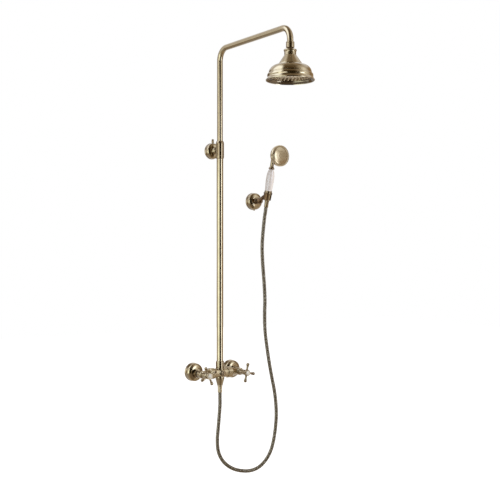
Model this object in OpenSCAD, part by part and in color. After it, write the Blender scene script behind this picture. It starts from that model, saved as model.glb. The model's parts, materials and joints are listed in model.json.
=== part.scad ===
// Exposed shower column: a two-handle wall mixer, a telescopic riser with a
// rainfall head, and a hand shower that rests in its own wall cradle.
// The wall is the XZ plane at y = 0. The origin is midway between the two inlets.

/* [Wall inlets and valve] */
// Distance between the hot and cold inlets
inlet_pitch = 150; // [140:1:160]
// Distance of the riser and valve axis from the wall
riser_off = 55; // [50:1:60]
// Radius of the inlet thread (G1/2)
inlet_r = 10.48; // [10.3:0.01:10.6]
// Drop of the valve below the inlets, made by the eccentric connectors
valve_drop = 3; // [0:0.5:4]
// Radius of the inlet wall flanges
inlet_flange_r = 31; // [28:0.5:34]
// Rest angle of the hot cross handle
hot_turn = 24; // [0:1:90]
// Rest angle of the cold cross handle
cold_turn = -11; // [-90:1:0]
// Reach of each handle arm from the handle's axis
handle_reach = 33; // [28:0.5:36]

/* [Riser and arm] */
// Radius of the lower riser tube
lower_r = 11.2; // [10.8:0.1:11.6]
// Radius of the upper riser tube and arm
upper_r = 9.7; // [9.2:0.05:9.7]
// Wall thickness of the tubes
tube_wall = 1; // [0.8:0.1:1.2]
// Height of the riser's wall bracket above the inlets
bracket_z = 750; // [600:1:850]
// Height of the arm's axis above the inlets
arm_z = 1090; // [1050:1:1200]
// Reach of the arm from the riser's axis to the head's axis
arm_reach = 395; // [300:1:450]
// Bend radius of the arm on its axis
bend_r = 40; // [36:1:60]
// Length of the upper tube below the arm's axis
upper_len = 620; // [560:5:660]

/* [Shower head] */
// Radius of the head's rim
head_r = 74.5; // [72:0.5:80]
// Rings of nozzles round the middle one
nozzle_rings = 5; // [3:1:5]

/* [Hand shower] */
// Sideways place of the hand shower's bracket
hand_x = 172; // [150:1:220]
// Height of the hand shower's bracket above the inlets
hand_z = 583; // [450:1:700]
// Forward lean of the resting handset, in degrees
hand_lean = 14; // [8:1:18]
// Radius of the handset's head
hand_head_r = 36; // [32:0.5:40]
// Diameter of the shower hose
hose_d = 12.5; // [12:0.5:14]

/* [Hidden] */
$fn = 64;

// Clearance of a part that turns or slides in another
run = 0.05;
// Gap between parts that pass each other freely
gap = 0.3;

// Finishes
brass = [0.66, 0.54, 0.32];
dark_brass = [0.42, 0.34, 0.2];
porcelain = [0.93, 0.92, 0.9];
rubber = [0.12, 0.12, 0.12];
plastic = [0.85, 0.83, 0.76];

// Valve, measured forward from the wall along the inlet's axis
valve_z = -valve_drop;
flange_depth = 26;
tail_l = 14;
ecc_neck_r = 10;
ecc_nose = 27;
ecc_seat = 36;
barrel_back = 38;
barrel_front = 64;
barrel_r = 12;
bonnet_front = 95;
handle_back = 96;
handle_front = 113;
handle_mid = 105;
spindle_r = 4.05;

// Riser, measured upward from the inlets
nut_low = valve_z + 16;
nut_top = valve_z + 40;
riser_foot = valve_z + 29;
sleeve_half = 30;
sleeve_taper = 11;
arm_tip_y = -riser_off - arm_reach;
upper_foot = arm_z - upper_len;
bush_len = 30;

// Head, measured from the ball's centre
ball_z = arm_z - 82;
ball_r = 11.5;
seat_t = 2.05;
stem_r = 5.5;
plate_z = 12;
plate_r = 68;

// Hand shower, measured from its cradle's centre up the leaning handset
cradle_y = -91;
cradle_z = hand_z + 14;
cone_slope = 0.104;
cone_mid_r = 10.95;
nut_bottom = -14;
nut_top_w = 16;
ferrule_bottom = -38;
grip_low = 20;
grip_top = 95;
neck_foot = 100;
neck_bend = 121;
neck_bend_r = 22;
neck_r = 6.3;

// Free hose from the valve's outlet, through its hanging loop, to the handset
hose_top_w = ferrule_bottom - 0.1;
hose_low = [0, -riser_off, valve_z - 66];
hose_high = [hand_x, cradle_y - hose_top_w * sin(hand_lean), cradle_z + hose_top_w * cos(hand_lean)];
hose_route = [
    [0, -55, -90], [0, -55, -112], [-3, -55, -150], [-7, -55, -190], [-11, -56, -226], [-9, -57, -262],
    [1, -59, -290], [19, -62, -313], [47, -65, -332], [80, -68, -343], [115, -72, -346],
    [147, -76, -337], [173, -80, -315], [191, -83, -286], [202, -85, -250], [209, -86, -208],
    [212, -87, -165], [210, -87, -120], [204, -86, -75], [195, -84, -30], [187, -80, 20],
    [180, -76, 75], [175, -72, 130], [174.5, -70, 185], [177, -68, 240], [175, -66, 300],
    [169.5, -66, 360], [166, -67, 420], [168, -69.3, 472], [172, -72.6, 523.3], [172, -77.5, 542.7]
];

// Points of a quarter ellipse from [r0, z0], where it leaves upright, to [r1, z1], where it is flat
function quarter(r0, z0, r1, z1, n = 12) =
    [for (i = [0:n]) [r1 + (r0 - r1) * cos(90 * i / n), z0 + (z1 - z0) * sin(90 * i / n)]];

function reversed(list) = [for (i = [len(list) - 1:-1:0]) list[i]];

// Local Z points forward out of the wall at [x, z]
module forward(x, z) {
    translate([x, 0, z]) rotate([90, 0, 0]) children();
}

// Local Z points up the leaning handset, from the cradle's centre
module leaning() {
    translate([hand_x, cradle_y, cradle_z]) rotate([hand_lean, 0, 0]) children();
}

// A turned piece from its half outline of [radius, height] points
module turned(outline) {
    rotate_extrude() polygon(outline);
}

module tube(r, h, bore) {
    difference() {
        cylinder(r = r, h = h);
        translate([0, 0, -1]) cylinder(r = bore, h = h + 2);
    }
}

// A hollow wall flange with a beaded rim, a straight wall and a domed front
module flange_cup(r, wall_h, depth, crown_r, hole_r, t = 1.6) {
    turned(concat(
        [[r, 0], [r, 2.4], [r - 1, 3.4]],
        quarter(r - 1, wall_h, crown_r, depth),
        [[hole_r, depth], [hole_r, depth - t]],
        reversed(quarter(r - 1 - t, wall_h, crown_r, depth - t)),
        [[r - 1 - t, 0]]));
}

// ---------------------------------------------------------------- wall inlets

module inlet_flange(side) {
    color(brass) forward(side * inlet_pitch / 2, 0)
        flange_cup(inlet_flange_r, 16, flange_depth, 14, ecc_neck_r + run);
}

module eccentric(side) {
    color(dark_brass) forward(side * inlet_pitch / 2, 0) difference() {
        union() {
            translate([0, 0, -tail_l]) cylinder(r = inlet_r, h = tail_l + 2);
            cylinder(r = ecc_neck_r, h = ecc_nose);
            translate([0, -valve_drop, ecc_nose]) cylinder(r = 11.5, h = ecc_seat - ecc_nose);
            translate([0, -valve_drop, ecc_seat - 3]) cylinder(r = 13, h = 3);
        }
        translate([0, -valve_drop / 2, -tail_l - 1]) cylinder(r = 6.5, h = ecc_seat + tail_l + 2);
    }
}

module union_nuts() {
    color(brass) for (side = [-1, 1]) forward(side * inlet_pitch / 2, valve_z) difference() {
        intersection() {
            translate([0, 0, 28.5]) cylinder(r = 16.6, h = 14.5, $fn = 6);
            turned([[0, 28.5], [14.4, 28.5], [16.6, 30.2], [16.6, 41.5], [14.6, 43], [0, 43]]);
        }
        translate([0, 0, 28]) cylinder(r = 11.55, h = 10);
        translate([0, 0, ecc_seat - 3]) cylinder(r = 13.05, h = 12);
    }
}

module check_valves() {
    color(plastic) for (side = [-1, 1]) forward(side * inlet_pitch / 2, valve_z) difference() {
        turned([[0, 38.6], [6.2, 38.6], [6.9, 39.4], [6.9, 44], [5.6, 45], [5.6, 49], [3, 51], [0, 51]]);
        translate([0, 0, 38]) cylinder(r = 3.6, h = 6);
    }
}

// ---------------------------------------------------------------- valve body

// Half of the cross bar: a plain middle, a broad ring and a taper to the barrel
bar_half = [[16, 0], [16, 24.5], [17.6, 25.5], [18.7, 27], [18.7, 42], [17.4, 43.6], [16, 44.4],
    [15.2, 48], [13.2, 55], [11.4, 62], [10.6, 68]];

module cross_bar() {
    rotate([0, 90, 0]) turned(concat([[0, -68]], reversed([for (p = bar_half) [p[0], -p[1]]]), bar_half,
        [[0, 68]]));
}

module hub() {
    sphere(r = 18);
    turned([[0, 0], [15, 0], [15, 13], [13.8, 16], [12.3, 16], [12.3, 27], [0, 27]]);
    turned([[0, 0], [15.4, 0], [15.4, -16], [14.2, -18.6], [12, -19], [0, -19]]);
    rotate([90, 0, 0]) turned([[0, 0], [12, 0], [12, 16.5], [11, 18], [0, 18]]);
}

module barrel() {
    turned([[0, barrel_back], [13, barrel_back], [13, 42.6], [barrel_r, 43.2], [barrel_r, 60],
        [12.6, 60.8], [12.6, 63.4], [12, barrel_front], [0, barrel_front]]);
}

module valve_body() {
    color(brass) difference() {
        union() {
            translate([0, -riser_off, valve_z]) {
                cross_bar();
                hub();
            }
            for (side = [-1, 1]) forward(side * inlet_pitch / 2, valve_z) barrel();
        }
        for (side = [-1, 1]) forward(side * inlet_pitch / 2, valve_z) {
            translate([0, 0, barrel_back - 1]) cylinder(r = 7, h = 14);
            translate([0, 0, 54]) cylinder(r = 9.2, h = 12);
            translate([0, 0, barrel_front]) cylinder(r = 13, h = 8);
        }
        translate([0, -riser_off, valve_z]) {
            cylinder(r = 7.5, h = 40);
            translate([0, 0, -30]) cylinder(r = 10.4, h = 18);
            rotate([90, 0, 0]) translate([0, 0, -4]) cylinder(r = 8.2, h = 30);
        }
    }
}

module cartridge(side) {
    color(plastic) forward(side * inlet_pitch / 2, valve_z) difference() {
        turned([[0, 54.2], [9.15, 54.2], [9.15, barrel_front], [6.9, barrel_front], [6.9, 76], [0, 76]]);
        translate([0, 0, 58]) cylinder(r = spindle_r + run, h = 20);
    }
}

module bonnet(side) {
    color(brass) forward(side * inlet_pitch / 2, valve_z) difference() {
        turned(concat([[0, barrel_front], [12.4, barrel_front], [12.4, 66]], quarter(12.4, 66, 9, 70, 4),
            [[9, 74], [9.8, 74.6], [9.8, 76.4], [9, 77], [8.6, 93.5], [7.6, bonnet_front],
            [0, bonnet_front]]));
        translate([0, 0, barrel_front - 1]) cylinder(r = 7, h = 14);
        translate([0, 0, barrel_front]) cylinder(r = spindle_r + run, h = 40);
    }
}

// ---------------------------------------------------------------- cross handles

module spindle(side) {
    color(dark_brass) forward(side * inlet_pitch / 2, valve_z) difference() {
        turned([[0, 58.4], [spindle_r, 58.4], [spindle_r, 108.5], [3.4, 109], [0, 109]]);
        translate([0, 0, 99]) cylinder(r = 2, h = 12);
    }
}

// One arm of the cross, growing along local X from the hub to its ball end
module handle_arm() {
    rotate([0, 90, 0]) turned([[0, 6], [4.6, 6], [3.6, 12], [3.3, 17], [3.5, 20.5], [4.7, 21.2], [4.7, 22.4],
        [3.9, 23], [4.3, 24], [5.1, 26], [5.4, 28], [5.1, 30], [4.2, 31.8], [2.6, 32.7], [0, handle_reach]]);
}

module cross_handle(side, turn) {
    color(brass) forward(side * inlet_pitch / 2, valve_z) rotate([0, 0, turn]) difference() {
        union() {
            turned([[0, handle_back], [7.4, handle_back], [8, 97], [7.6, 99], [9.6, 101], [10.8, 103],
                [10.8, 107.4], [10, 109.4], [9.8, 111.4], [10.4, 112], [10.2, handle_front],
                [0, handle_front]]);
            translate([0, 0, handle_mid]) for (k = [0:3]) rotate([0, 0, 90 * k]) handle_arm();
        }
        translate([0, 0, handle_back - 1]) cylinder(r = spindle_r, h = 14);
        translate([0, 0, 109]) cylinder(r = 8.6, h = 6);
    }
}

module handle_screw(side) {
    color(dark_brass) forward(side * inlet_pitch / 2, valve_z) difference() {
        turned([[0, 100], [2, 100], [2, 109], [4, 109], [4, 110.6], [3.4, 111.2], [0, 111.2]]);
        translate([-3, -0.5, 110.4]) cube([6, 1, 2]);
    }
}

module handle_cap(side) {
    color(porcelain) forward(side * inlet_pitch / 2, valve_z) difference() {
        turned(concat([[0, 109], [8.55, 109], [8.55, 113.4]], quarter(8.55, 113.4, 0, 116.4, 9)));
        translate([0, 0, 108]) cylinder(r = 5, h = 4.2);
    }
}

// ---------------------------------------------------------------- diverter

module diverter_cartridge() {
    color(plastic) translate([0, -riser_off, valve_z]) rotate([90, 0, 0]) difference() {
        translate([0, 0, -3.8]) cylinder(r = 8.15, h = 22);
        translate([0, 0, 4]) cylinder(r = 3 + run, h = 20);
    }
}

module diverter_spindle() {
    color(dark_brass) translate([0, -riser_off, valve_z]) rotate([90, 0, 0])
        translate([0, 0, 4.3]) cylinder(r = 3, h = 18);
}

module diverter_knob() {
    color(brass) translate([0, -riser_off, valve_z]) rotate([90, 0, 0]) difference() {
        union() {
            turned(concat([[0, 18.4], [8.2, 18.4], [9, 19.2], [9, 22.5]], quarter(9, 22.5, 6.5, 24.2, 4),
                [[0, 24.2]]));
            translate([-1.6, -7, 23.5]) cube([3.2, 14, 2.7]);
            translate([0, 0, 22]) cylinder(r = 3.4, h = 4.6);
        }
        for (k = [0:11]) rotate([0, 0, 30 * k + 15]) translate([9.9, 0, 17]) cylinder(r = 1.4, h = 10);
        translate([0, 0, 17]) cylinder(r = 3, h = 5.3);
    }
}

// ---------------------------------------------------------------- riser

module riser_nut() {
    color(brass) translate([0, -riser_off, 0]) difference() {
        turned([[0, nut_low], [13.4, nut_low], [14, nut_low + 0.8], [14, nut_top - 2], [13, nut_top - 0.4],
            [12.2, nut_top], [0, nut_top]]);
        translate([0, 0, nut_low - 1]) cylinder(r = 12.3, h = 14);
        cylinder(r = lower_r, h = 60);
    }
}

module lower_riser() {
    color(brass) translate([0, -riser_off, riser_foot])
        tube(lower_r, bracket_z - riser_foot, lower_r - tube_wall);
}

module sleeve_collar() {
    color(brass) translate([0, -riser_off, bracket_z]) difference() {
        union() {
            turned(concat([[0, -sleeve_half], [lower_r + 0.6, -sleeve_half]],
                reversed(quarter(13.7, -sleeve_half + sleeve_taper, lower_r + 0.9, -sleeve_half + 0.4, 9)),
                quarter(13.7, sleeve_half - sleeve_taper, upper_r + 1, sleeve_half, 9), [[0, sleeve_half]]));
            rotate([-90, 0, 0]) cylinder(r = 8, h = 19);
        }
        translate([0, 0, -sleeve_half - 1]) cylinder(r = lower_r, h = sleeve_half + 7);
        cylinder(r = upper_r + run, h = sleeve_half + 1);
        rotate([-90, 0, 0]) translate([0, 0, 13]) cylinder(r = 4, h = 7);
    }
}

module sleeve_seals() {
    color(rubber) for (z = [0.2, 3.2]) translate([0, -riser_off, bracket_z + z]) difference() {
        cylinder(r = lower_r, h = 2.6);
        translate([0, 0, -1]) cylinder(r = upper_r + run, h = 5);
    }
}

module riser_bracket_arm() {
    color(brass) forward(0, bracket_z) difference() {
        union() {
            turned([[0, 4], [8, 4], [8, 23], [12.6, 23.2], [13, 24.2], [13, 25.4], [12, 26.6], [12, 31],
                [11, 33], [9.4, 34.6], [9.2, 36], [0, 36]]);
            translate([0, 0, 4]) cylinder(r = 4, h = 37.8);
        }
        translate([0, 0, 3]) cylinder(r = 2.5, h = 10);
    }
}

// Cover flange of a bracket, drilled for its locking screw in direction "turn" from straight up
module cover_flange(r, depth, crown_r, turn) {
    difference() {
        flange_cup(r, 14, depth, crown_r, 8.1);
        rotate([0, 0, turn]) translate([0, 0, 9]) rotate([-90, 0, 0]) cylinder(r = 1.8, h = r + 5);
    }
}

// Screwed wall plate under a cover flange: two screw holes side by side, and a seat for the lock screw
module wall_plate(r) {
    difference() {
        union() {
            cylinder(r = r, h = 4);
            tube(r, 13, r - 4);
        }
        for (side = [-1, 1]) translate([side * 14, 0, -1]) cylinder(r = 2.3, h = 6);
        translate([0, 0, -1]) cylinder(r = 2.5, h = 6);
    }
}

module riser_bracket_flange() {
    color(brass) forward(0, bracket_z) cover_flange(27.5, 23, 12, 0);
}

module riser_bracket_plate() {
    color(dark_brass) forward(0, bracket_z) wall_plate(22);
}

// Locking screws: a tall finial on top of the riser's flange, a short one under the hand shower's
module flange_screws() {
    color(brass) {
        translate([0, -9, bracket_z]) turned([[0, 22], [1.75, 22], [1.75, 26.6], [2.8, 26.6], [2.8, 28],
            [4, 28.8], [4.2, 30], [4.2, 35.4], [3.2, 36.6], [4.1, 37.8], [3.7, 39.8], [2, 41.2], [0, 41.6]]);
        translate([hand_x, -9, hand_z]) rotate([180, 0, 0])
            turned([[0, 24], [1.75, 24], [1.75, 29.1], [3.2, 29.1], [3.2, 31.4], [2.4, 32.4], [0, 32.6]]);
    }
}

// ---------------------------------------------------------------- telescopic arm

module guide_bush() {
    color(plastic) translate([0, -riser_off, upper_foot]) difference() {
        translate([0, 0, -3]) cylinder(r = lower_r - tube_wall - run, h = bush_len + 3);
        translate([0, 0, -4]) cylinder(r = upper_r - 2, h = 10);
        cylinder(r = upper_r - 0.4 + run, h = bush_len + 1);
    }
}

// The arm's solid rod of radius r: riser, bend, arm, bend and the drop to the end nut
module arm_rod(r, foot, drop) {
    translate([0, -riser_off, foot]) cylinder(r = r, h = arm_z - bend_r - foot);
    translate([0, -riser_off - bend_r, arm_z]) rotate([90, 0, 0])
        cylinder(r = r, h = arm_reach - 2 * bend_r);
    translate([0, arm_tip_y, drop]) cylinder(r = r, h = arm_z - bend_r - drop);
    translate([0, -riser_off - bend_r, arm_z - bend_r]) rotate([90, 0, -90]) elbow(r, 90);
    translate([0, arm_tip_y + bend_r, arm_z - bend_r]) rotate([90, 0, -90]) elbow(r, 0);
}

module elbow(r, start) {
    rotate([0, 0, start]) rotate_extrude(angle = 90) translate([bend_r, 0]) circle(r = r);
}

module upper_riser() {
    color(brass) difference() {
        arm_rod(upper_r, upper_foot + bush_len + gap, ball_z + 22);
        arm_rod(upper_r - tube_wall, upper_foot + bush_len, ball_z + 21);
    }
    color(brass) translate([0, -riser_off, upper_foot + gap])
        tube(upper_r - 0.4, bush_len + 0.2, upper_r - tube_wall);
}

module arm_end_nut() {
    color(brass) translate([0, arm_tip_y, ball_z]) difference() {
        turned([[0, 13.8], [7.5, 13.8], [12.2, 15.4], [12.8, 16.2], [12.8, 28], [12.2, 28.8], [12.8, 29.6],
            [12.8, 32.4], [11.6, 34.4], [0, 34.4]]);
        translate([0, 0, 18.5]) cylinder(r = upper_r, h = 20);
        cylinder(r = stem_r, h = 30);
    }
}

module ball_stem() {
    color(brass) translate([0, arm_tip_y, ball_z]) difference() {
        union() {
            sphere(r = ball_r);
            cylinder(r = stem_r, h = 20);
            translate([0, 0, 18.5]) cylinder(r = upper_r - 0.1, h = 3.2);
        }
        translate([0, 0, -15]) cylinder(r = 3.2, h = 40);
    }
}

// ---------------------------------------------------------------- shower head

module swivel_seat() {
    color(rubber) translate([0, arm_tip_y, ball_z]) intersection() {
        difference() {
            sphere(r = ball_r + seat_t);
            sphere(r = ball_r + run);
        }
        translate([0, 0, -9]) cylinder(r = 20, h = 10);
    }
}

module swivel_nut() {
    socket_r = ball_r + seat_t + run;
    color(brass) translate([0, arm_tip_y, ball_z]) difference() {
        turned([[0, -6.6], [17.6, -6.6], [18.2, -6], [18, 2.4], [18.2, 4.2], [19.2, 4.8], [19.8, 5.8],
            [19.8, 8.8], [18.8, 10.2], [0, 10.2]]);
        intersection() {
            sphere(r = socket_r);
            translate([0, 0, -20]) cylinder(r = 20, h = 24.9);
        }
        sphere(r = ball_r + run);
        turned([[0, 6], [9.8, 6], [11.4, 12], [0, 12]]);
        translate([0, 0, -8]) cylinder(r = 15, h = 5);
    }
}

// Heights in the bell, its plate and its ring are measured up from the rim
rim_z = ball_z - 84;

module on_head() {
    translate([0, arm_tip_y, rim_z]) children();
}

module head_bell() {
    color(brass) on_head() difference() {
        union() {
            turned(concat([[0, 77.4], [18.2, 77.4], [18.9, 76.6], [36.6, 51], [37.2, 49.4], [38.5, 48.8]],
                reversed(quarter(65.6, 23, 38.5, 48, 18)),
                [[65.8, 22.2], [67.8, 21.4], [69, 20.2], [69.9, 17.6], [70.2, 14.6], [70, 11.6], [70.2, 9.4],
                [71.8, 6.4], [head_r - 0.5, 3.4], [head_r, 2.2], [head_r - 0.3, 0.6], [head_r - 1.4, 0],
                [0, 0]]));
            translate([0, 0, 64]) cylinder(r = 15, h = 17);
        }
        turned(concat([[0, 64], [25.2, 64], [34.9, 50]], reversed(quarter(63.8, 23, 37, 46.2, 9)),
            [[63.8, 19.4], [66.8, 17.4], [66.8, plate_z + 2], [plate_r, plate_z + 2], [plate_r, plate_z - 1],
            [68.4, 10.6], [69, 8], [70.8, 4.4], [72.4, 1.4], [72.8, -1], [0, -1]]));
        translate([0, 0, 84]) sphere(r = ball_r + seat_t + run);
        translate([0, 0, 63]) cylinder(r = 6, h = 10);
    }
}

// Places children at the middle nozzle and in rings of six, twelve, eighteen and so on
module at_nozzles() {
    children();
    for (ring = [1:nozzle_rings], k = [0:6 * ring - 1])
        rotate([0, 0, 60 * k / ring]) translate([11.4 * ring, 0, 0]) children();
}

module face_plate() {
    color(dark_brass) on_head() difference() {
        translate([0, 0, plate_z]) cylinder(r = plate_r, h = 2);
        at_nozzles() translate([0, 0, plate_z - 1]) cylinder(r = 1.5, h = 4);
    }
}

module spray_nozzles() {
    color(rubber) on_head() at_nozzles() translate([0, 0, plate_z]) difference() {
        turned([[0, -2], [1, -2], [1.5, -0.6], [1.5, 2.6], [0, 2.6]]);
        translate([0, 0, -3]) cylinder(r = 0.5, h = 6);
    }
}

module face_ring() {
    color(brass) on_head() translate([0, 0, plate_z])
        turned([[63.6, -1], [64.2, -2], [66.8, -2.6], [plate_r, -2.6], [plate_r, 0], [63.6, 0]]);
}

module flow_disc() {
    color(plastic) on_head() translate([0, 0, 65]) difference() {
        cylinder(r = 6, h = 3);
        for (k = [0:5]) rotate([0, 0, 60 * k]) translate([3.6, 0, -1]) cylinder(r = 1, h = 5);
    }
}

// ---------------------------------------------------------------- hose

module under_valve() {
    translate([0, -riser_off, valve_z]) children();
}

module hose_outlet() {
    color(dark_brass) under_valve() translate([0, 0, -28]) tube(10.4, 15.8, 6);
}

module lower_hose_nut() {
    color(brass) under_valve() difference() {
        turned([[0, -19.2], [15, -19.2], [15.4, -20.4], [15, -22], [14.2, -23], [12.4, -30], [10.6, -37],
            [10.2, -39.4], [9.6, -41], [0, -41]]);
        translate([0, 0, -30]) cylinder(r = 10.4, h = 12);
        translate([0, 0, -42]) cylinder(r = 7.6, h = 14);
    }
}

module lower_ferrule() {
    color(brass) under_valve() difference() {
        turned([[0, -30], [7.6, -30], [7.6, -41], [8.6, -41.6], [8.5, -46], [7.7, -47], [7.5, -62],
            [7.8, -63], [7.6, -66], [0, -66]]);
        translate([0, 0, -65]) cylinder(r = 4.5, h = 40);
    }
}

module sealing_washers() {
    color(rubber) {
        for (side = [-1, 1]) forward(side * inlet_pitch / 2, valve_z)
            translate([0, 0, ecc_seat]) tube(12.9, barrel_back - ecc_seat, 8);
        under_valve() translate([0, 0, 27]) tube(lower_r, 2, 7.5);
        under_valve() translate([0, 0, -30]) tube(10.3, 2, 5);
    }
}

// A point of a smooth curve between b and c, with a and d on either side of them
function curve_point(a, b, c, d, t) =
    0.5 * (2 * b + (c - a) * t + (2 * a - 5 * b + 4 * c - d) * t * t + (3 * b - a - 3 * c + d) * t * t * t);

function curve_along(path, steps) = let (last = len(path) - 1) concat(
    [for (i = [0:last - 1], k = [0:steps - 1]) curve_point(
        i == 0 ? 2 * path[0] - path[1] : path[i - 1], path[i], path[i + 1],
        i == last - 1 ? 2 * path[last] - path[last - 1] : path[i + 2], k / steps)],
    [path[last]]);

function unit(v) = v / norm(v);

// A closed tube of n sides swept along the points of a curve that runs mostly up, down and sideways
module swept_tube(curve, r, n) {
    last = len(curve) - 1;
    rings = [for (i = [0:last])
        let (
            along = unit(curve[min(i + 1, last)] - curve[max(i - 1, 0)]),
            out = unit(cross(along, [0, 1, 0])),
            side = cross(along, out))
        for (k = [0:n - 1]) curve[i] + r * (cos(360 * k / n) * out + sin(360 * k / n) * side)];
    walls = [for (i = [0:last - 1], k = [0:n - 1])
        [i * n + k, (i + 1) * n + k, (i + 1) * n + (k + 1) % n, i * n + (k + 1) % n]];
    polyhedron(points = rings, faces = concat([[for (k = [0:n - 1]) k]], walls,
        [[for (k = [n - 1:-1:0]) last * n + k]]));
}

module hose() {
    color(dark_brass) swept_tube(curve_along(concat([hose_low], hose_route, [hose_high]), 2), hose_d / 2, 10);
}

// ---------------------------------------------------------------- hand shower bracket

// The knuckle's ball, measured forward from the wall, and the rod that rises from it to the cradle
knuckle_d = 44;
rod_rise = 25;
rod_len = 21;

module from_knuckle() {
    forward(hand_x, hand_z + 1) translate([0, 0, knuckle_d]) rotate([-rod_rise, 0, 0]) children();
}

module hand_bracket_flange() {
    color(brass) forward(hand_x, hand_z) cover_flange(30, 24, 12, 180);
}

module hand_bracket_plate() {
    color(dark_brass) forward(hand_x, hand_z) wall_plate(24);
}

module hand_bracket_arm() {
    color(brass) {
        forward(hand_x, hand_z) difference() {
            turned([[0, 4], [8, 4], [8, 24], [9.6, 24.6], [10, 26], [9.4, 27.4], [7.4, 28.4], [6.8, 31],
                [7.6, 35], [0, 38]]);
            translate([0, 0, 3]) cylinder(r = 2.5, h = 14);
        }
        from_knuckle() {
            sphere(r = 11.5);
            turned([[0, 8], [7.6, 8], [6.2, 13], [6, rod_len], [0, rod_len]]);
        }
    }
}

function cone_r(w) = cone_mid_r + cone_slope * w;

module cradle() {
    color(brass) difference() {
        union() {
            leaning() turned([[0, -13], [12.4, -13], [13.2, -12.2], [13.4, -10.4], [12.9, -9.6], [14.2, 8.6],
                [15.2, 9.4], [15.5, 11.2], [15.2, 12.4], [14.2, 13], [0, 13]]);
            from_knuckle() turned([[0, rod_len], [7, rod_len], [7.6, rod_len + 1], [7.6, rod_len + 4],
                [6.6, rod_len + 5], [7.4, rod_len + 17], [0, rod_len + 17]]);
        }
        leaning() {
            turned([[0, -20], [cone_r(-20) + run, -20], [cone_r(20) + run, 20], [0, 20]]);
            translate([-6.7, -20, -20]) cube([13.4, 20, 40]);
        }
    }
}

// ---------------------------------------------------------------- handset

module upper_hose_nut() {
    color(brass) leaning() difference() {
        turned([[0, nut_bottom], [cone_r(nut_bottom) - 0.8, nut_bottom],
            [cone_r(nut_bottom + 1), nut_bottom + 1], [cone_r(13.3), 13.3], [13.4, 13.4], [13.7, 14.4],
            [13.4, 15.6], [12.8, nut_top_w], [0, nut_top_w]]);
        translate([0, 0, nut_bottom - 1]) cylinder(r = 7, h = 40);
        translate([0, 0, 4]) cylinder(r = 10.2, h = 14);
    }
}

module upper_ferrule() {
    color(brass) leaning() difference() {
        turned([[0, ferrule_bottom], [7.2, ferrule_bottom], [7.5, ferrule_bottom + 2],
            [7, ferrule_bottom + 3], [7.3, nut_bottom - 5], [8, nut_bottom - 4], [8, nut_bottom - 0.4],
            [7, nut_bottom], [7, 4], [0, 4]]);
        translate([0, 0, ferrule_bottom + 1]) cylinder(r = 4.5, h = 50);
    }
}

module upper_hose_washer() {
    color(rubber) leaning() translate([0, 0, 4]) tube(10.1, 2, 5);
}

module handset_base() {
    color(brass) leaning() difference() {
        turned([[0, 6], [10.2, 6], [10.2, nut_top_w], [12.4, nut_top_w], [13, nut_top_w + 1],
            [12.8, grip_low - 1], [12.2, grip_low], [0, grip_low]]);
        translate([0, 0, 12]) cylinder(r = 4.9, h = 10);
        translate([0, 0, 5]) cylinder(r = 4, h = 10);
    }
}

module handset_tube() {
    color(dark_brass) leaning() translate([0, 0, 12]) tube(4.9, grip_top + 2 - 12, 3.9);
}

module handset_grip() {
    color(porcelain) leaning() difference() {
        turned([[0, grip_low], [11.6, grip_low], [12.1, grip_low + 0.8], [12.6, 28], [13.2, 38], [13.7, 48],
            [13.9, 56], [13.8, 64], [13.3, 72], [12.2, 80], [10.6, 87], [9, 92], [8.4, grip_top - 0.6],
            [8, grip_top], [0, grip_top]]);
        translate([0, 0, grip_low - 1]) cylinder(r = 5, h = 90);
    }
}

module handset_collar() {
    color(brass) leaning() difference() {
        turned([[0, grip_top], [8.6, grip_top], [10, grip_top + 1], [10.4, grip_top + 2.4],
            [10, grip_top + 3.8], [8.4, neck_foot], [0, neck_foot]]);
        translate([0, 0, grip_top - 1]) cylinder(r = 4.9, h = 3);
        translate([0, 0, grip_top]) cylinder(r = 3.9, h = 8);
    }
}

// Where the neck's bend ends: its place in the leaning frame, then in the wall's frame
bend_turn = 90 - hand_lean;
bend_end_y = -neck_bend_r * (1 - cos(bend_turn));
bend_end_w = neck_bend + neck_bend_r * sin(bend_turn);
neck_l = neck_bend - neck_foot;
neck_end_d = -cradle_y - bend_end_y * cos(hand_lean) + bend_end_w * sin(hand_lean);
hand_head_z = cradle_z + bend_end_y * sin(hand_lean) + bend_end_w * cos(hand_lean);
head_back_d = 146;
head_rim_d = 160;
head_face_d = 168;

// The neck as a rod of radius r: up from the collar, round the bend, then forward into the head.
// Its last length has the radius end_r and starts a little before the bend ends.
module on_bend() {
    leaning() translate([0, -neck_bend_r, neck_bend]) rotate([90, 0, 90]) children();
}

module below_bend() {
    on_bend() translate([neck_bend_r, 0, 0]) rotate([90, 0, 0]) children();
}

module neck_rod(r, below, end_r, back) {
    below_bend() cylinder(r = r, h = neck_l + below);
    on_bend() rotate_extrude(angle = bend_turn) translate([neck_bend_r, 0]) circle(r = r);
    on_bend() rotate([0, 0, bend_turn]) translate([neck_bend_r, -back, 0]) rotate([-90, 0, 0])
        cylinder(r = end_r, h = head_back_d - neck_end_d + 1 + back + below);
}

module handset_neck() {
    color(brass) difference() {
        union() {
            neck_rod(neck_r, 0, neck_r, 0);
            below_bend() turned([[0, neck_l - 6], [neck_r - 0.3, neck_l - 6], [7.2, neck_l - 3],
                [8.2, neck_l - 1], [7.8, neck_l], [0, neck_l]]);
        }
        neck_rod(neck_r - 1.6, 1, neck_r - 1.2, 0.5);
    }
}

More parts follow.
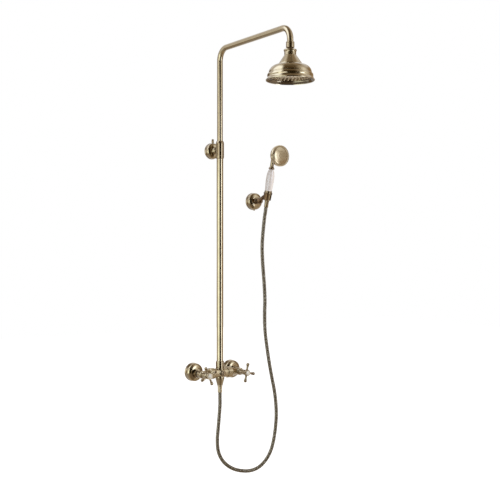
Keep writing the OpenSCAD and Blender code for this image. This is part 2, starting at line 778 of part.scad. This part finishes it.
module handset_shell() {
    r = hand_head_r;
    color(brass) forward(hand_x, hand_head_z) difference() {
        turned(concat([[0, head_back_d - 2], [8, head_back_d - 2], [8.6, head_back_d - 1]],
            reversed(quarter(r, head_rim_d, 9, head_back_d, 14)),
            [[r, head_face_d - 2], [r - 0.6, head_face_d - 0.4], [r - 1.6, head_face_d], [0, head_face_d]]));
        turned(concat([[0, head_back_d + 2]], reversed(quarter(r - 1.8, head_rim_d, 9, head_back_d + 2, 8)),
            [[r - 1.8, head_face_d + 1], [0, head_face_d + 1]]));
        translate([0, 0, head_back_d - 3]) cylinder(r = neck_r, h = 4);
        translate([0, 0, head_back_d - 3]) cylinder(r = 4, h = 9);
    }
}

module handset_face() {
    color(dark_brass) forward(hand_x, hand_head_z) difference() {
        turned([[0, head_face_d - 4], [hand_head_r - 1.8, head_face_d - 4],
            [hand_head_r - 1.8, head_face_d - 1], [30.5, head_face_d - 1.2], [29.5, head_face_d - 0.2],
            [26, head_face_d + 0.8], [18, head_face_d + 1.8], [9, head_face_d + 2.3],
            [0, head_face_d + 2.4]]);
        for (ring = [1:3], k = [0:6 * ring - 1]) rotate([0, 0, 60 * k / ring])
            translate([7.2 * ring, 0, head_face_d - 5]) cylinder(r = 0.8, h = 9);
    }
}

inlet_flange(-1);  // hot_flange
inlet_flange(1);  // cold_flange
eccentric(-1);  // hot_eccentric
eccentric(1);  // cold_eccentric
union_nuts();
sealing_washers();
check_valves();
valve_body();
cartridge(-1);  // hot_cartridge
cartridge(1);  // cold_cartridge
bonnet(-1);  // hot_bonnet
bonnet(1);  // cold_bonnet
spindle(-1);  // hot_spindle
spindle(1);  // cold_spindle
cross_handle(-1, hot_turn);  // hot_handle
cross_handle(1, cold_turn);  // cold_handle
handle_screw(-1);  // hot_screw
handle_screw(1);  // cold_screw
handle_cap(-1);  // hot_cap
handle_cap(1);  // cold_cap
diverter_cartridge();
diverter_spindle();
diverter_knob();
riser_nut();
lower_riser();
sleeve_collar();
sleeve_seals();
riser_bracket_arm();
riser_bracket_flange();
riser_bracket_plate();
flange_screws();
guide_bush();
upper_riser();
arm_end_nut();
ball_stem();
swivel_seat();
swivel_nut();
head_bell();
face_plate();
face_ring();
spray_nozzles();
flow_disc();
hose_outlet();
lower_hose_nut();
lower_ferrule();
hose();
hand_bracket_flange();
hand_bracket_plate();
hand_bracket_arm();
cradle();
upper_hose_nut();
upper_ferrule();
upper_hose_washer();
handset_base();
handset_tube();
handset_grip();
handset_collar();
handset_neck();
handset_shell();
handset_face();
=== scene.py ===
"""The looks of the rainfall shower column: an exposed mixer, a telescopic riser with a bell-shaped
rain head, and a hand shower with a porcelain grip on a spiral-wound hose."""

import json
import math

import bpy
import numpy as np
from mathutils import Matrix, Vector


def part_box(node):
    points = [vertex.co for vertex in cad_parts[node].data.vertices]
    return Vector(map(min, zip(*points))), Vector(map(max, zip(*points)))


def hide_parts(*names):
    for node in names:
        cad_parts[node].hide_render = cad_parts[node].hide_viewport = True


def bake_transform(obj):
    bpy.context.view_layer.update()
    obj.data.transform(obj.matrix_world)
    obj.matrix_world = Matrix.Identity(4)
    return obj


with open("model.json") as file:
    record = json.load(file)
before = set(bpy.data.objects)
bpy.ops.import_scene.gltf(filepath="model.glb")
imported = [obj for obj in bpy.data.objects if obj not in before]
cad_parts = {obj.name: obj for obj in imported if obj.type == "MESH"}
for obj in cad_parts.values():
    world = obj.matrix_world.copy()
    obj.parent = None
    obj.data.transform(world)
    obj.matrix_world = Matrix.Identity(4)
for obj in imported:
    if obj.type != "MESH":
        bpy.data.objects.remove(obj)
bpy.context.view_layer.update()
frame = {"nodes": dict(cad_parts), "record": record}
nodes = frame["nodes"]
MM = 0.001

# ---------------------------------------------------------------- camera

# It stands left of the column and looks level at it, this far round from straight at the wall.
LOOK_TURN = math.radians(34.38)
look = Vector((math.sin(LOOK_TURN), math.cos(LOOK_TURN), 0))
look_right = Vector((math.cos(LOOK_TURN), -math.sin(LOOK_TURN), 0))

camera = bpy.data.objects.new("camera", bpy.data.cameras.new("camera"))
camera.data.lens = 65.15
camera.data.sensor_width = 36
camera.data.shift_y = -0.0043
camera.location = (-1.6437, -2.6373, 0.4192)
camera.rotation_mode = "QUATERNION"
camera.rotation_quaternion = look.to_track_quat("-Z", "Y")
bpy.context.scene.collection.objects.link(camera)
bpy.context.scene.camera = camera

# ---------------------------------------------------------------- mesh helpers


def piece(name, points, faces, material, smooth=True):
    """A mesh object from its points and faces, in one material."""
    mesh = bpy.data.meshes.new(name)
    mesh.from_pydata([tuple(p) for p in points], [], [tuple(f) for f in faces])
    mesh.polygons.foreach_set("use_smooth", [smooth] * len(mesh.polygons))
    mesh.materials.append(material)
    made = bpy.data.objects.new(name, mesh)
    bpy.context.scene.collection.objects.link(made)
    return made


def ring_faces(rings, sides):
    """The faces of a closed tube whose points run ring by ring."""
    faces = []
    for i in range(rings - 1):
        for k in range(sides):
            next_k = (k + 1) % sides
            low, high = i * sides, (i + 1) * sides
            faces.append((low + k, low + next_k, high + next_k, high + k))
    faces.append(tuple(range(sides - 1, -1, -1)))
    faces.append(tuple((rings - 1) * sides + k for k in range(sides)))
    return faces


# ---------------------------------------------------------------- shader helpers


class Shader:
    """A material's node tree, with short calls for its nodes."""

    def __init__(self, name):
        self.material = bpy.data.materials.new(name)
        self.material.use_nodes = True
        self.tree = self.material.node_tree
        self.tree.nodes.clear()
        self.out = self.add("ShaderNodeOutputMaterial")

    def add(self, kind, **settings):
        node = self.tree.nodes.new(kind)
        for key, value in settings.items():
            setattr(node, key, value)
        return node

    def put(self, socket, value):
        """Links a socket, or sets it to a plain value."""
        if isinstance(value, bpy.types.NodeSocket):
            self.tree.links.new(value, socket)
        else:
            socket.default_value = value

    def math(self, operation, a, b=0.0):
        node = self.add("ShaderNodeMath", operation=operation)
        self.put(node.inputs[0], a)
        self.put(node.inputs[1], b)
        return node.outputs[0]

    def vector(self, operation, a, b=(0, 0, 0), result="Vector"):
        node = self.add("ShaderNodeVectorMath", operation=operation)
        self.put(node.inputs[0], a)
        self.put(node.inputs[1], b)
        return node.outputs[result]

    def scaled(self, vector, factor):
        node = self.add("ShaderNodeVectorMath", operation="SCALE")
        self.put(node.inputs[0], vector)
        self.put(node.inputs["Scale"], factor)
        return node.outputs["Vector"]

    def noise(self, vector, scale, detail=2.0, rough=0.5):
        node = self.add("ShaderNodeTexNoise")
        self.put(node.inputs["Vector"], vector)
        self.put(node.inputs["Scale"], scale)
        self.put(node.inputs["Detail"], detail)
        self.put(node.inputs["Roughness"], rough)
        return node.outputs["Fac"]

    def band(self, value, low, high, to_low=0.0, to_high=1.0):
        """The value mapped from low..high onto to_low..to_high, held at the ends."""
        node = self.add("ShaderNodeMapRange")
        for socket, given in zip(node.inputs, (value, low, high, to_low, to_high)):
            self.put(socket, given)
        return node.outputs[0]

    def mix(self, factor, a, b):
        node = self.add("ShaderNodeMix", data_type="RGBA")
        self.put(node.inputs["Factor"], factor)
        self.put(node.inputs[6], a)
        self.put(node.inputs[7], b)
        return node.outputs[2]

    def bump(self, height, strength, distance, normal=None):
        node = self.add("ShaderNodeBump")
        node.inputs["Strength"].default_value = strength
        node.inputs["Distance"].default_value = distance
        self.put(node.inputs["Height"], height)
        if normal is not None:
            self.put(node.inputs["Normal"], normal)
        return node.outputs["Normal"]

    def principled(self, **sockets):
        node = self.add("ShaderNodeBsdfPrincipled")
        for key, value in sockets.items():
            self.put(node.inputs[key.replace("_", " ")], value)
        self.tree.links.new(node.outputs[0], self.out.inputs["Surface"])
        return self.material


def rgb(red, green, blue):
    """A colour given as it looks on screen, from 0 to 255, as the shader's linear colour."""
    def linear(c):
        c /= 255
        return c / 12.92 if c <= 0.04045 else ((c + 0.055) / 1.055) ** 2.4
    return (linear(red), linear(green), linear(blue), 1.0)


# ---------------------------------------------------------------- materials

UP, FORWARD = (0, 0, 1), (0, -1, 0)
made_materials = {}


def ring_coordinates(shader, centre, axis):
    """Coordinates that change fast along a turned piece and outward, and slowly around it."""
    place = shader.add("ShaderNodeTexCoord").outputs["Object"]
    arm = shader.vector("SUBTRACT", place, tuple(centre))
    height = shader.vector("DOT_PRODUCT", arm, tuple(axis), result="Value")
    flat = shader.vector("SUBTRACT", arm, shader.scaled(tuple(axis), height))
    radius = shader.vector("LENGTH", flat, result="Value")
    around = shader.vector("DOT_PRODUCT", flat, (0.031, 0.029, 0.027), result="Value")
    node = shader.add("ShaderNodeCombineXYZ")
    for socket, value in zip(node.inputs, (height, radius, around)):
        shader.put(socket, value)
    return place, node.outputs[0]


def antique_brass(centre=(0, -0.055, 0), axis=UP, age_and_painted_light=0.0, underside_shade=0.0):
    """Brushed antique brass, its grain running round the piece's own axis.
    Its age-and-tone setting makes it darker and barer, partly as age and partly as painted shade
    matched to each piece, and paler, in painted light, when that setting is below zero.
    Where it faces down, painted shade darkens it by as much as the underside setting says."""
    key = ("antique", tuple(round(c, 4) for c in centre), tuple(axis), age_and_painted_light, underside_shade)
    if key in made_materials:
        return made_materials[key]
    s = Shader(f"antique_brass_{len(made_materials)}")
    place, rings = ring_coordinates(s, centre, axis)
    grain = s.noise(rings, 5200, 2.0)
    polish = s.noise(rings, 150, 3.0, 0.6)
    cloud = s.noise(place, 38, 4.0, 0.6)
    edge = s.add("ShaderNodeBevel", samples=8)
    edge.inputs["Radius"].default_value = 0.0006
    soft = edge.outputs["Normal"]
    flat = s.add("ShaderNodeNewGeometry").outputs["Normal"]
    # Painted shade: darker where the surface faces down
    painted_underside_shade = s.band(s.vector("DOT_PRODUCT", flat, UP, result="Value"), -0.5, -0.1, underside_shade, 0.0)
    worn_edge = s.band(s.vector("DOT_PRODUCT", soft, flat, result="Value"), 0.995, 0.93, 0.0, 0.5)
    hollow = s.add("ShaderNodeAmbientOcclusion", samples=8)
    hollow.inputs["Distance"].default_value = 0.006
    dark = s.band(hollow.outputs["AO"], 0.25, 0.75, 0.75, 0.0)
    colour = s.mix(s.band(cloud, 0.3, 0.7), rgb(168, 148, 111), rgb(152, 132, 97))
    colour = s.mix(s.band(polish, 0.35, 0.65, 0.0, 0.25), colour, rgb(142, 120, 84))
    # Darker above zero, partly with age and partly in painted shade; paler below zero, in painted
    # light
    colour = s.mix(abs(age_and_painted_light), colour, rgb(86, 56, 20) if age_and_painted_light > 0 else rgb(228, 208, 172))
    colour = s.mix(worn_edge, colour, rgb(208, 192, 158))
    colour = s.mix(dark, colour, rgb(62, 44, 26))
    # The painted shade on the downward faces
    colour = s.mix(painted_underside_shade, colour, rgb(58, 40, 22))
    cloudy = s.band(cloud, 0.3, 0.7, 0.13, 0.18)
    roughness = s.math("ADD", cloudy, s.band(grain, 0.3, 0.7, 0.0, 0.03))
    made_materials[key] = s.principled(
        Base_Color=colour, Metallic=1.0, Roughness=roughness, Coat_Roughness=0.12,
        Coat_Weight=1 - 0.6 * max(age_and_painted_light, 0), Normal=s.bump(grain, 0.03, 0.00002))
    return made_materials[key]


def plain_brass():
    """Machined brass that no one sees in use, with its turning marks."""
    if "plain" not in made_materials:
        s = Shader("plain_brass")
        place, rings = ring_coordinates(s, (0, -0.055, 0), UP)
        marks = s.noise(rings, 2600, 2.0)
        cloud = s.noise(place, 60, 3.0)
        colour = s.mix(s.band(cloud, 0.3, 0.7), rgb(214, 184, 112), rgb(190, 158, 92))
        made_materials["plain"] = s.principled(
            Base_Color=colour, Metallic=1.0, Roughness=s.band(marks, 0.3, 0.7, 0.24, 0.36),
            Normal=s.bump(marks, 0.2, 0.00005))
    return made_materials["plain"]


def glazed_porcelain(name, light, shade):
    """Porcelain under a glossy glaze, a little uneven between two tones, with a few pinholes."""
    s = Shader(name)
    place = s.add("ShaderNodeTexCoord").outputs["Object"]
    cloud = s.noise(place, 45, 3.0)
    pits = s.noise(place, 700, 1.0)
    colour = s.mix(s.band(cloud, 0.3, 0.7), light, shade)
    colour = s.mix(s.band(pits, 0.76, 0.82, 0.0, 0.2), colour, rgb(176, 160, 146))
    waves = s.bump(s.noise(place, 60, 0.0), 0.03, 0.0003)
    return s.principled(
        Base_Color=colour, Roughness=s.band(cloud, 0.3, 0.7, 0.16, 0.22), Normal=waves,
        Coat_Weight=0.4, Coat_Roughness=0.1)


def dark_hose_metal():
    """The hose's strip: darkened bronze, with pale specks on the crowns of its turns that are
    partly rubbed wear and partly painted glints, and painted shade in the grooves between them.
    """
    s = Shader("hose_metal")
    place = s.add("ShaderNodeTexCoord").outputs["Object"]
    crown = s.add("ShaderNodeAttribute", attribute_name="crown").outputs["Fac"]
    cloud = s.noise(place, 120, 3.0, 0.6)
    rub_and_glint = s.noise(place, 900, 2.0)
    colour = s.mix(s.band(cloud, 0.35, 0.7), rgb(124, 111, 92), rgb(94, 83, 68))
    # Pale specks, partly rubbed wear and partly painted glints
    colour = s.mix(s.band(rub_and_glint, 0.5, 0.66, 0.0, 0.75), colour, rgb(202, 190, 164))
    # Painted shade: the grooves between the turns go near black
    colour = s.mix(s.band(crown, 0.15, 0.85, 0.96, 0.0), colour, rgb(24, 17, 11))
    return s.principled(
        Base_Color=colour, Metallic=1.0, Roughness=s.band(rub_and_glint, 0.3, 0.7, 0.26, 0.42),
        Normal=s.bump(rub_and_glint, 0.2, 0.00008))


def black_rubber():
    s = Shader("rubber")
    place = s.add("ShaderNodeTexCoord").outputs["Object"]
    dust = s.noise(place, 300, 4.0, 0.7)
    colour = s.mix(s.band(dust, 0.4, 0.75), rgb(48, 45, 42), rgb(78, 74, 69))
    return s.principled(
        Base_Color=colour, Roughness=s.band(dust, 0.3, 0.7, 0.55, 0.75),
        Normal=s.bump(dust, 0.2, 0.0001))


def nozzle_silicone():
    s = Shader("nozzle_silicone")
    place = s.add("ShaderNodeTexCoord").outputs["Object"]
    dust = s.noise(place, 400, 3.0, 0.6)
    colour = s.mix(s.band(dust, 0.35, 0.7), rgb(208, 189, 157), rgb(192, 174, 143))
    return s.principled(
        Base_Color=colour, Roughness=s.band(dust, 0.3, 0.7, 0.4, 0.55),
        Normal=s.bump(dust, 0.15, 0.0001))


def valve_plastic():
    s = Shader("valve_plastic")
    place = s.add("ShaderNodeTexCoord").outputs["Object"]
    cloud = s.noise(place, 200, 3.0)
    colour = s.mix(s.band(cloud, 0.3, 0.7), rgb(222, 216, 200), rgb(206, 198, 180))
    return s.principled(
        Base_Color=colour, Roughness=s.band(cloud, 0.3, 0.7, 0.4, 0.5),
        Normal=s.bump(cloud, 0.1, 0.0001))


white_porcelain = glazed_porcelain("white_porcelain", rgb(232, 223, 218), rgb(222, 212, 206))
cream_porcelain = glazed_porcelain("cream_porcelain", rgb(212, 203, 187), rgb(198, 188, 171))
hose_metal = dark_hose_metal()
rubber = black_rubber()
plastic = valve_plastic()
silicone = nozzle_silicone()

# ---------------------------------------------------------------- hose

HOSE_D = 12.5 * MM
RIDGE_PITCH = 4.8 * MM
RIDGE_DEPTH = 1.1 * MM
RINGS_A_RIDGE = 10
HOSE_SIDES = 18
GROOVE_HALF = 0.3
PLAIN_END = 2 * MM
PLAIN_SINK = 0.2
STEPS_A_POINT = 24
# The hose's two ends and its route between them, in millimetres as in the CAD source
hose_low = (0, -55, -69)
hose_high = (172, -81.8, 560)
hose_route = [
    (0, -55, -90), (0, -55, -112), (-3, -55, -150), (-7, -55, -190), (-11, -56, -226),
    (-9, -57, -262), (1, -59, -290), (19, -62, -313), (47, -65, -332), (80, -68, -343),
    (115, -72, -346), (147, -76, -337), (173, -80, -315), (191, -83, -286), (202, -85, -250),
    (209, -86, -208), (212, -87, -165), (210, -87, -120), (204, -86, -75), (195, -84, -30),
    (187, -80, 20), (180, -76, 75), (175, -72, 130), (174.5, -70, 185), (177, -68, 240),
    (175, -66, 300), (169.5, -66, 360), (166, -67, 420), (168, -69.3, 472), (172, -72.6, 523.3),
    (172, -77.5, 542.7),
]


def curve_along(path, steps):
    """A smooth curve through every point of the path."""
    p = np.array(path, float)
    p = np.vstack([2 * p[0] - p[1], p, 2 * p[-1] - p[-2]])
    out = []
    for a, b, c, d in zip(p, p[1:], p[2:], p[3:]):
        for t in np.arange(steps) / steps:
            out.append(0.5 * (2 * b + (c - a) * t + (2 * a - 5 * b + 4 * c - d) * t ** 2
                              + (3 * b - a - 3 * c + d) * t ** 3))
    return np.array(out + [p[-2]])


def evenly(curve, spacing):
    """Points along the curve at equal distances, and their distance from its start."""
    along = np.concatenate([[0], np.cumsum(np.linalg.norm(np.diff(curve, axis=0), axis=1))])
    marks = np.linspace(0, along[-1], round(along[-1] / spacing) + 1)
    return np.column_stack([np.interp(marks, along, curve[:, i]) for i in range(3)]), marks


def carried_frames(curve):
    """Two directions across the curve at each point, carried along it without twisting."""
    along = np.gradient(curve, axis=0)
    along /= np.linalg.norm(along, axis=1)[:, None]
    out = np.zeros_like(curve)
    out[0] = np.cross(along[0], (0, 1, 0))
    for i in range(1, len(curve)):
        out[i] = out[i - 1] - along[i] * (out[i - 1] @ along[i])
        out[i] /= np.linalg.norm(out[i])
    return out, np.cross(along, out)


def hose():
    """The spiral-wound hose."""
    route = curve_along([hose_low, *hose_route, hose_high], STEPS_A_POINT) * MM
    curve, marks = evenly(route, RIDGE_PITCH / RINGS_A_RIDGE)
    out, side = carried_frames(curve)
    turn = np.arange(HOSE_SIDES) / HOSE_SIDES
    phase = (marks[:, None] / RIDGE_PITCH - turn[None, :]) % 1
    groove = np.clip(1 - np.abs(phase - 0.5) / GROOVE_HALF, 0, 1) ** 1.2
    end = np.minimum(marks, marks[-1] - marks)[:, None] < PLAIN_END
    radius = HOSE_D / 2 - RIDGE_DEPTH * np.where(end, PLAIN_SINK, groove)
    across = (np.cos(2 * math.pi * turn)[None, :, None] * out[:, None, :]
              + np.sin(2 * math.pi * turn)[None, :, None] * side[:, None, :])
    points = (curve[:, None, :] + radius[:, :, None] * across).reshape(-1, 3)
    faces = ring_faces(len(curve), HOSE_SIDES)
    made = piece("spiral_hose", points, faces, hose_metal)
    # How high each point stands on a ridge; the hose's material paints shade into the grooves from
    # it
    crown = made.data.attributes.new("crown", "FLOAT", "POINT")
    crown.data.foreach_set("value", (1 - groove).astype(np.float32).ravel())
    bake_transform(made)
    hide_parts("hose")


hose()

# ---------------------------------------------------------------- finishes of the CAD nodes


def middle(node):
    """The centre of a node's box, which its turned axis passes through."""
    low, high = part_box(node)
    return (low + high) / 2


def finish_node(node, material):
    data = nodes[node].data
    data.materials.clear()
    data.materials.append(material)


slot_of = {entry["node"]: entry["material_slot"] for entry in frame["record"]["subparts"]}

# The brushed grain runs round the axis that points at the wall on these, and round an upright
# axis on all others.
FORWARD_PARTS = [
    "hot_flange", "cold_flange", "hot_bonnet", "cold_bonnet", "hot_handle", "cold_handle",
    "diverter_knob", "riser_bracket_arm", "riser_bracket_flange", "hand_bracket_flange",
    "hand_bracket_arm", "handset_shell", "handset_face",
]
# How dark and bare each piece is, partly with age and handling and partly in painted shade matched
# to how dark it looks; below zero, how much paler it is painted, in painted light
AGE_AND_PAINTED_LIGHT = {
    "cradle": 0.95, "hand_bracket_arm": 0.9, "hand_bracket_flange": 0.2, "diverter_knob": 0.65,
    "union_nuts": 0.5, "cold_flange": 0.15, "hot_handle": 0.35, "cold_handle": 0.5,
    "riser_nut": 0.35, "sleeve_collar": 0.5, "riser_bracket_flange": 0.18,
    "riser_bracket_arm": 0.28, "flange_screws": 0.5, "upper_riser": 0.06, "arm_end_nut": 0.2,
    "ball_stem": 0.5, "swivel_nut": 0.1, "face_ring": 0.6, "face_plate": -0.8,
    "lower_ferrule": -0.2, "upper_ferrule": 0.6, "upper_hose_nut": 0.15, "handset_base": 0.6,
    "handset_collar": 0.7, "handset_neck": 0.55, "handset_shell": -0.3, "handset_face": 0.3,
}
# How much painted shade darkens the bell and its ring where they face down
BELL_UNDERSIDE_SHADE = 0.85

for name in nodes:
    slot = slot_of[name]
    if slot == "porcelain":
        finish_node(name, white_porcelain if name == "handset_grip" else cream_porcelain)
    elif slot == "rubber":
        finish_node(name, rubber)
    elif slot == "valve_plastic":
        finish_node(name, plastic)
    elif slot == "nozzle_silicone":
        finish_node(name, silicone)
    elif slot == "plain_brass":
        finish_node(name, plain_brass())
    elif name in FORWARD_PARTS:
        finish_node(name, antique_brass(middle(name), FORWARD, AGE_AND_PAINTED_LIGHT.get(name, 0.0)))
    else:
        underside_shade = BELL_UNDERSIDE_SHADE if name in ("head_bell", "face_ring") else 0.0
        finish_node(name, antique_brass(middle(name), UP, AGE_AND_PAINTED_LIGHT.get(name, 0.0), underside_shade))

# ---------------------------------------------------------------- studio

MIDDLE = Vector((0.02, -0.2, 0.4))


def around(degrees, distance, height):
    """A place around the column, by its angle from the camera's side, right when positive."""
    turn = math.radians(degrees)
    flat = -look * math.cos(turn) + look_right * math.sin(turn)
    return MIDDLE + flat * distance + Vector((0, 0, height))


def softbox(name, degrees, radiance, distance=2.4, height=0.3, wide=2.8, tall=3.4):
    """A large lamp beside the column that lights it but isn't mirrored."""
    lamp = bpy.data.lights.new(name, "AREA")
    lamp.shape, lamp.size, lamp.size_y = "RECTANGLE", wide, tall
    lamp.energy = radiance * math.pi * wide * tall
    made = bpy.data.objects.new(name, lamp)
    made.location = around(degrees, distance, height)
    made.rotation_mode = "QUATERNION"
    level = MIDDLE + Vector((0, 0, height)) - made.location
    made.rotation_quaternion = level.to_track_quat("-Z", "Y")
    made.visible_glossy = False
    bpy.context.scene.collection.objects.link(made)


def eased(t):
    """From 0 to 1 as t goes, with a soft start and end."""
    t = min(max(t, 0), 1)
    return t * t * (3 - 2 * t)


def card(name, turns, climbs, glow, tint=(1, 1, 1), soft=(8, 8, 8, 8), distance=3.0):
    """A curved card that only reflections see, between two angles round and two angles up.
    It fades out towards its left, right, low and high edges over the soft angles."""
    s = Shader(name)
    emit = s.add("ShaderNodeEmission")
    emit.inputs["Color"].default_value = (*tint, 1)
    emit.inputs["Strength"].default_value = glow
    fade = s.add("ShaderNodeMixShader")
    s.put(fade.inputs[0], s.add("ShaderNodeAttribute", attribute_name="cover").outputs["Fac"])
    s.put(fade.inputs[1], s.add("ShaderNodeBsdfTransparent").outputs[0])
    s.put(fade.inputs[2], emit.outputs[0])
    s.put(s.out.inputs["Surface"], fade.outputs[0])
    s.material.cycles.emission_sampling = "NONE"
    across = up = 24
    corners, cover = [], []
    for k in range(up + 1):
        climb = climbs[0] + (climbs[1] - climbs[0]) * k / up
        for i in range(across + 1):
            turn = turns[0] + (turns[1] - turns[0]) * i / across
            flat = distance * math.cos(math.radians(climb))
            corners.append(around(turn, flat, distance * math.sin(math.radians(climb))))
            from_edges = (turn - turns[0], turns[1] - turn, climb - climbs[0], climbs[1] - climb)
            cover.append(math.prod(
                eased(far / wide) for far, wide in zip(from_edges, soft) if wide))
    row = across + 1
    faces = [(k * row + i, k * row + i + 1, (k + 1) * row + i + 1, (k + 1) * row + i)
             for k in range(up) for i in range(across)]
    made = piece(name, corners, faces, s.material)
    made.data.attributes.new("cover", "FLOAT", "POINT").data.foreach_set("value", cover)
    made.visible_camera = made.visible_diffuse = made.visible_shadow = False


softbox("left_softbox", -70, 0.9)
softbox("right_softbox", 80, 1.8)

# What the metal mirrors in the pale room: bright panels at both sides, dark flags in front and
# overhead, and dim corners
BRIGHT, COOL = (1.0, 1.18, 1.5), (1.0, 1.1, 1.25)
BROWN, TAN, SAND = (1.0, 0.72, 0.42), (1.0, 0.84, 0.66), (1.0, 0.84, 0.62)
ROUND = (-180, 180)
# A nearer card covers those behind it. The others stand at 3 m.
NEAREST, NEAR, CLOSE, AHEAD, BEHIND, FARTHEST = 2.75, 2.8, 2.85, 2.9, 3.05, 3.1
card("left_panel", (-110, -38), (22, 72), 2.7, BRIGHT, (18, 10, 8, 12))
card("left_panel_low", (-76, -16), (-22, 26), 2.7, (1.0, 1.2, 1.28), (14, 8, 8, 10))
card("left_gap", (-100, -52), (8, 21), 0.7, (1.0, 0.92, 0.8), (10, 8, 5, 5), AHEAD)
card("left_strip", (-50, -10), (8, 24), 2.3, COOL, (8, 6, 5, 5), CLOSE)
card("left_side_low", (-120, -62), (-22, 26), 1.2, (1.0, 1.1, 1.15), (20, 10, 8, 10))
card("right_panel_low", (39, 71), (-22, 22), 4.4, BRIGHT, (6, 8, 8, 6))
card("right_panel", (50, 92), (16, 50), 1.8, COOL, (16, 14, 8, 10))
card("right_side_low", (60, 112), (-22, 10), 0.85, (1.0, 0.88, 0.75), (8, 10, 8, 8), AHEAD)
card("left_back", (-168, -118), (-2, 36), 0.2, BROWN, (10, 10, 8, 10), AHEAD)
card("left_back_low", (-172, -104), (-22, 2), 0.4, BROWN, (10, 12, 8, 8), AHEAD)
card("right_back", (88, 172), (-14, 48), 0.45, BROWN, (24, 10, 8, 12), AHEAD)
card("front_fade", (-10, 70), (21, 62), 0.18, BROWN, (4, 54, 5, 6), AHEAD)
card("front_flag", (-42, 28), (20, 44), 0.06, BROWN, (10, 10, 5, 14), NEAR)
card("front_flag_high", (-42, 40), (30, 66), 0.2, BROWN, (10, 16, 5, 8), CLOSE)
card("front_flag_low", (-18, 48), (-24, 28), 0.03, (1.0, 0.8, 0.3), (6, 4, 6, 5), NEAREST)
card("top_front", (-60, 66), (54, 80), 0.26, SAND, (14, 20, 6, 4), NEAR)
card("top_right", (50, 178), (56, 80), 0.52, TAN, (12, 12, 10, 6), AHEAD)
card("top", ROUND, (72, 90), 0.42, SAND, (0, 0, 8, 0), AHEAD)
card("low_front", (-18, 70), (-68, -18), 0.34, TAN, (10, 16, 8, 8), NEAR)
card("low_right", (44, 180), (-56, -13), 0.82, (1.0, 0.95, 0.9), (12, 8, 8, 8), BEHIND)
card("low_ring", ROUND, (-56, -13), 0.58, (1.0, 0.97, 0.92), (0, 0, 8, 8), FARTHEST)
card("deep", ROUND, (-90, -44), 0.72, (1.0, 0.86, 0.68), (0, 0, 0, 10), FARTHEST)
card("far_back", (160, 206), (-18, 20), 0.7, (1.0, 0.9, 0.78), (8, 8, 6, 6), NEAR)
card("deep_front", (-4, 64), (-90, -44), 0.24, BROWN, (8, 8, 0, 6), BEHIND)


def pale_where_seen(tree, lit, pale, out):
    """Joins lit, for rays that carry light, and pale, for rays that see."""
    path = tree.nodes.new("ShaderNodeLightPath")
    seen = path.outputs["Is Camera Ray"]
    for other in ("Is Glossy Ray", "Is Transmission Ray"):
        either = tree.nodes.new("ShaderNodeMath")
        either.operation = "MAXIMUM"
        tree.links.new(seen, either.inputs[0])
        tree.links.new(path.outputs[other], either.inputs[1])
        seen = either.outputs[0]
    mix = tree.nodes.new("ShaderNodeMixShader")
    tree.links.new(seen, mix.inputs[0])
    tree.links.new(lit, mix.inputs[1])
    tree.links.new(pale, mix.inputs[2])
    tree.links.new(mix.outputs[0], out)


def room():
    world = bpy.data.worlds.new("room")
    bpy.context.scene.world = world
    world.use_nodes = True
    tree = world.node_tree
    tree.nodes.clear()
    out = tree.nodes.new("ShaderNodeOutputWorld")
    lit, pale = (tree.nodes.new("ShaderNodeBackground") for _ in range(2))
    for light, strength in ((lit, 0.45), (pale, 1.0)):
        light.inputs["Color"].default_value = (1, 1, 1, 1)
        light.inputs["Strength"].default_value = strength
    pale_where_seen(tree, lit.outputs[0], pale.outputs[0], out.inputs["Surface"])


def floor():
    """A pale floor at its usual depth below a mixer."""
    s = Shader("pale_floor")
    lit = s.add("ShaderNodeBsdfDiffuse")
    lit.inputs["Color"].default_value = (0.9, 0.9, 0.9, 1)
    glow = s.add("ShaderNodeEmission")
    glow.inputs["Strength"].default_value = 0.8
    both = s.add("ShaderNodeAddShader")
    s.put(both.inputs[0], lit.outputs[0])
    s.put(both.inputs[1], glow.outputs[0])
    pale_where_seen(s.tree, lit.outputs[0], both.outputs[0], s.out.inputs["Surface"])
    half, z = 12, -1.1
    corners = [(-half, -half, z), (half, -half, z), (half, half, z), (-half, half, z)]
    made = piece("floor", corners, [(0, 1, 2, 3)], s.material, smooth=False)
    made.visible_glossy = False


room()
floor()
bpy.context.scene.view_settings.view_transform = "Standard"
